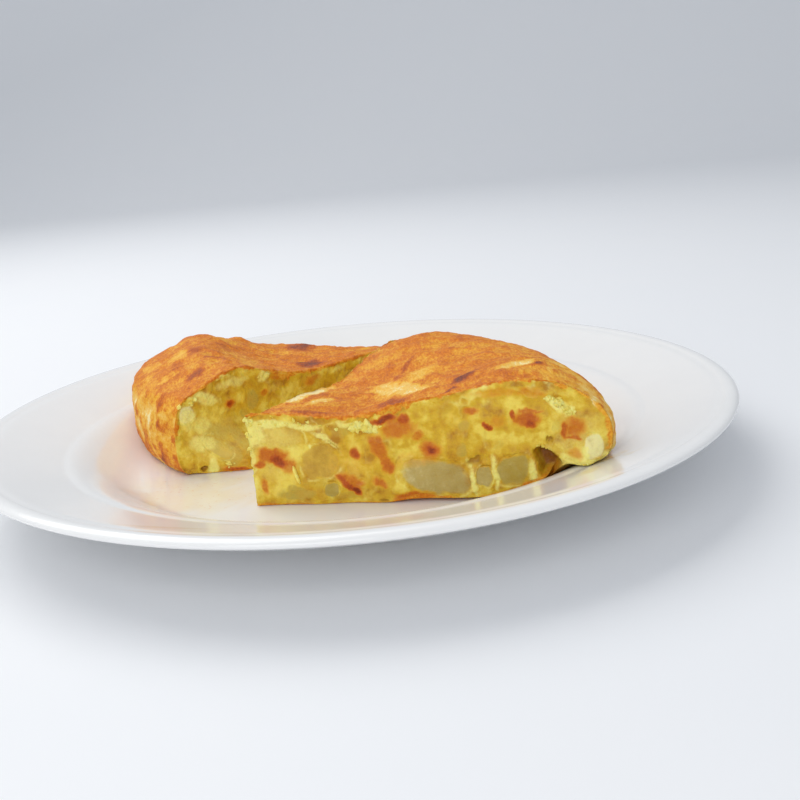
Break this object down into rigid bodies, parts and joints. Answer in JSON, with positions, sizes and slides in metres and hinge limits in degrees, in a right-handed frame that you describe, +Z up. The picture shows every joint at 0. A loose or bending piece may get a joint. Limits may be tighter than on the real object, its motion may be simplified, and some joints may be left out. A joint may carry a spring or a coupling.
{
  "type": "plate of spanish omelette",
  "caption": "Two wedges of thick potato omelette with a browned skin, lying on a round white dinner plate with a sloping rim.",
  "frame": {"origin": "on the plate's axis, at the underside of its foot ring", "axes": "+Z up along the plate's axis; +Y away from the viewer, so the front slice's cut face looks towards -Y"},
  "size_m": [0.27, 0.27, 0.0461],
  "materials": {
    "glaze": "glossy white glaze",
    "egg": "browned omelette skin over moist yellow egg",
    "potato": "moist boiled potato"
  },
  "bodies": {
    "root": {"plate": "glaze", "slice_front": "egg", "slice_rear": "egg", "potato_front_1": "potato", "potato_front_2": "potato", "potato_front_3": "potato", "potato_front_4": "potato", "potato_front_5": "potato", "potato_front_6": "potato", "potato_front_7": "potato", "potato_rear_1": "potato", "potato_rear_2": "potato"}
  },
  "joints": []
}
